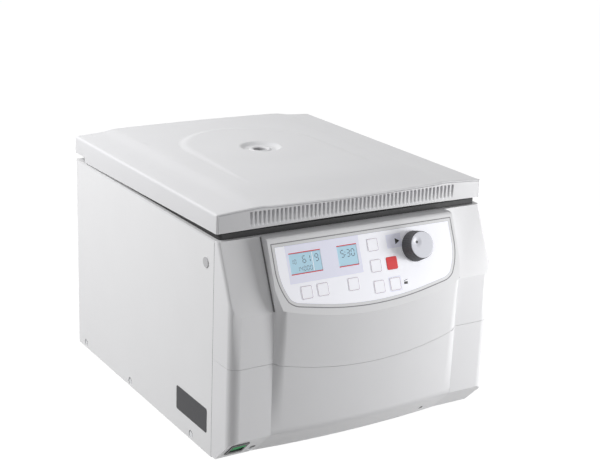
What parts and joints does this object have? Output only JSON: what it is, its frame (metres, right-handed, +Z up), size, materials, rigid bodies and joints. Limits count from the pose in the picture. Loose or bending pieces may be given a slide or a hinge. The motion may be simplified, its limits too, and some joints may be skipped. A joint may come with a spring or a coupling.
{
  "type": "cytocentrifuge",
  "caption": "Benchtop cytocentrifuge: hinged lid with air grille and sight port, sloped control pod, swing-out rotor with slide carriers in a steel bowl.",
  "frame": {"origin": "centre of the footprint, on the surface that the feet stand on", "axes": "+Z up, -Y towards the control pod at the front, +X to the right seen from the front"},
  "size_m": [0.397, 0.4962, 0.3364],
  "materials": {
    "panel_steel": "fine light grey powder coat",
    "shell_plastic": "fine-textured light grey moulding",
    "lid_plastic": "fine-textured light grey moulding",
    "overlay_foil": "printed polyester foil",
    "key_foil": "embossed white key",
    "stop_red": "red key",
    "display_glass": "light blue liquid-crystal glass",
    "circuit_board": "green epoxy board",
    "knob_grey": "dark ribbed side, pale face",
    "black_plastic": "black moulding",
    "switch_green": "green translucent rocker",
    "zinc_steel": "zinc-plated steel",
    "stainless": "stainless sheet",
    "motor_iron": "painted cast frame",
    "rubber_black": "black rubber",
    "aluminium": "clear anodised",
    "clear_glass": "clear",
    "chamber_plastic": "natural moulded funnel",
    "deck_steel": "light grey powder coat"
  },
  "bodies": {
    "cabinet": {"base_pan": "zinc_steel", "left_side_panel": "panel_steel", "right_side_panel": "panel_steel", "rear_panel": "panel_steel", "upper_front_shell": "shell_plastic", "lower_front_shell": "shell_plastic", "top_deck": "deck_steel", "feet": "rubber_black", "case_screws": "zinc_steel", "control_overlay": "overlay_foil", "display_module": "display_glass", "control_board": "circuit_board", "encoder": "black_plastic", "switch_housing": "black_plastic", "mains_inlet": "black_plastic", "power_board": "circuit_board", "bowl": "stainless", "bowl_gasket": "rubber_black", "guard_ring": "zinc_steel", "motor_plate": "zinc_steel", "vibration_mounts": "rubber_black", "motor_stator": "motor_iron", "hinge_brackets": "zinc_steel", "hinge_pins": "stainless", "hinge_springs": "zinc_steel", "lid_lock": "zinc_steel"},
    "lid": {"lid_shell": "lid_plastic", "lid_inner_plate": "zinc_steel", "lid_grille": "lid_plastic", "sight_glass": "clear_glass", "latch_hooks": "zinc_steel", "hinge_arms": "zinc_steel"},
    "encoder_rotor": {"encoder_rotor": "black_plastic"},
    "knob": {"knob": "knob_grey"},
    "power_rocker": {"power_rocker": "switch_green"},
    "release_pull": {"release_pull": "black_plastic"},
    "lock_bolt": {"lock_bolt": "zinc_steel"},
    "spindle": {"motor_shaft": "stainless", "rotor_head": "aluminium", "rotor_nut": "aluminium"},
    "recall_key": {"recall_key": "key_foil"},
    "store_key": {"store_key": "key_foil"},
    "time_key": {"time_key": "key_foil"},
    "short_spin_key": {"short_spin_key": "key_foil"},
    "acceleration_key": {"acceleration_key": "key_foil"},
    "brake_key": {"brake_key": "key_foil"},
    "stop_key": {"stop_key": "stop_red"},
    "lid_open_key": {"lid_open_key": "key_foil"},
    "carrier_1": {"cyto_carrier_1": "aluminium", "slide_1": "clear_glass", "chamber_1": "chamber_plastic"},
    "carrier_2": {"cyto_carrier_2": "aluminium", "slide_2": "clear_glass", "chamber_2": "chamber_plastic"},
    "carrier_3": {"cyto_carrier_3": "aluminium", "slide_3": "clear_glass", "chamber_3": "chamber_plastic"},
    "carrier_4": {"cyto_carrier_4": "aluminium", "slide_4": "clear_glass", "chamber_4": "chamber_plastic"}
  },
  "joints": [
    {"name": "lid_hinge", "type": "hinge", "parent": "cabinet", "child": "lid", "pos_m": [0, 0.241, 0.3022], "axis": [-1, 0, 0], "range_deg": [0, 80]},
    {"name": "spindle_spin", "type": "hinge", "parent": "cabinet", "child": "spindle", "pos_m": [0, 0.054, 0.215], "axis": [0, 0, 1], "continuous": true},
    {"name": "knob_turn", "type": "hinge", "parent": "cabinet", "child": "encoder_rotor", "pos_m": [0.0717, -0.22062, 0.26029], "axis": [0, -0.9237, 0.3832], "continuous": true},
    {"name": "knob_press", "type": "slide", "parent": "encoder_rotor", "child": "knob", "axis": [0, 0.9237, -0.3832], "range_m": [0, 0.0006], "stiffness_N_per_m": 3000},
    {"name": "power_rocker_tilt", "type": "hinge", "parent": "cabinet", "child": "power_rocker", "pos_m": [-0.1772, -0.21049, 0.03184], "axis": [-1, 0, 0], "range_deg": [0, 20]},
    {"name": "release_pull_slide", "type": "slide", "parent": "cabinet", "child": "release_pull", "axis": [-1, 0, 0], "range_m": [0, 0.016]},
    {"name": "lock_bolt_slide", "type": "slide", "parent": "cabinet", "child": "lock_bolt", "axis": [1, 0, 0], "range_m": [0, 0.008], "stiffness_N_per_m": 200},
    {"name": "recall_key_press", "type": "slide", "parent": "cabinet", "child": "recall_key", "axis": [0, 0.9237, -0.3832], "range_m": [0, 0.0005], "stiffness_N_per_m": 2500},
    {"name": "store_key_press", "type": "slide", "parent": "cabinet", "child": "store_key", "axis": [0, 0.9237, -0.3832], "range_m": [0, 0.0005], "stiffness_N_per_m": 2500},
    {"name": "time_key_press", "type": "slide", "parent": "cabinet", "child": "time_key", "axis": [0, 0.9237, -0.3832], "range_m": [0, 0.0005], "stiffness_N_per_m": 2500},
    {"name": "short_spin_key_press", "type": "slide", "parent": "cabinet", "child": "short_spin_key", "axis": [0, 0.9237, -0.3832], "range_m": [0, 0.0005], "stiffness_N_per_m": 2500},
    {"name": "acceleration_key_press", "type": "slide", "parent": "cabinet", "child": "acceleration_key", "axis": [0, 0.9237, -0.3832], "range_m": [0, 0.0005], "stiffness_N_per_m": 2500},
    {"name": "brake_key_press", "type": "slide", "parent": "cabinet", "child": "brake_key", "axis": [0, 0.9237, -0.3832], "range_m": [0, 0.0005], "stiffness_N_per_m": 2500},
    {"name": "stop_key_press", "type": "slide", "parent": "cabinet", "child": "stop_key", "axis": [0, 0.9237, -0.3832], "range_m": [0, 0.0005], "stiffness_N_per_m": 2500},
    {"name": "lid_open_key_press", "type": "slide", "parent": "cabinet", "child": "lid_open_key", "axis": [0, 0.9237, -0.3832], "range_m": [0, 0.0005], "stiffness_N_per_m": 2500},
    {"name": "carrier_1_swing", "type": "hinge", "parent": "spindle", "child": "carrier_1", "pos_m": [0.068, 0.054, 0.215], "axis": [0, -1, 0], "range_deg": [0, 90]},
    {"name": "carrier_2_swing", "type": "hinge", "parent": "spindle", "child": "carrier_2", "pos_m": [0, 0.122, 0.215], "axis": [1, 0, 0], "range_deg": [0, 90]},
    {"name": "carrier_3_swing", "type": "hinge", "parent": "spindle", "child": "carrier_3", "pos_m": [-0.068, 0.054, 0.215], "axis": [0, 1, 0], "range_deg": [0, 90]},
    {"name": "carrier_4_swing", "type": "hinge", "parent": "spindle", "child": "carrier_4", "pos_m": [0, -0.014, 0.215], "axis": [-1, 0, 0], "range_deg": [0, 90]}
  ]
}
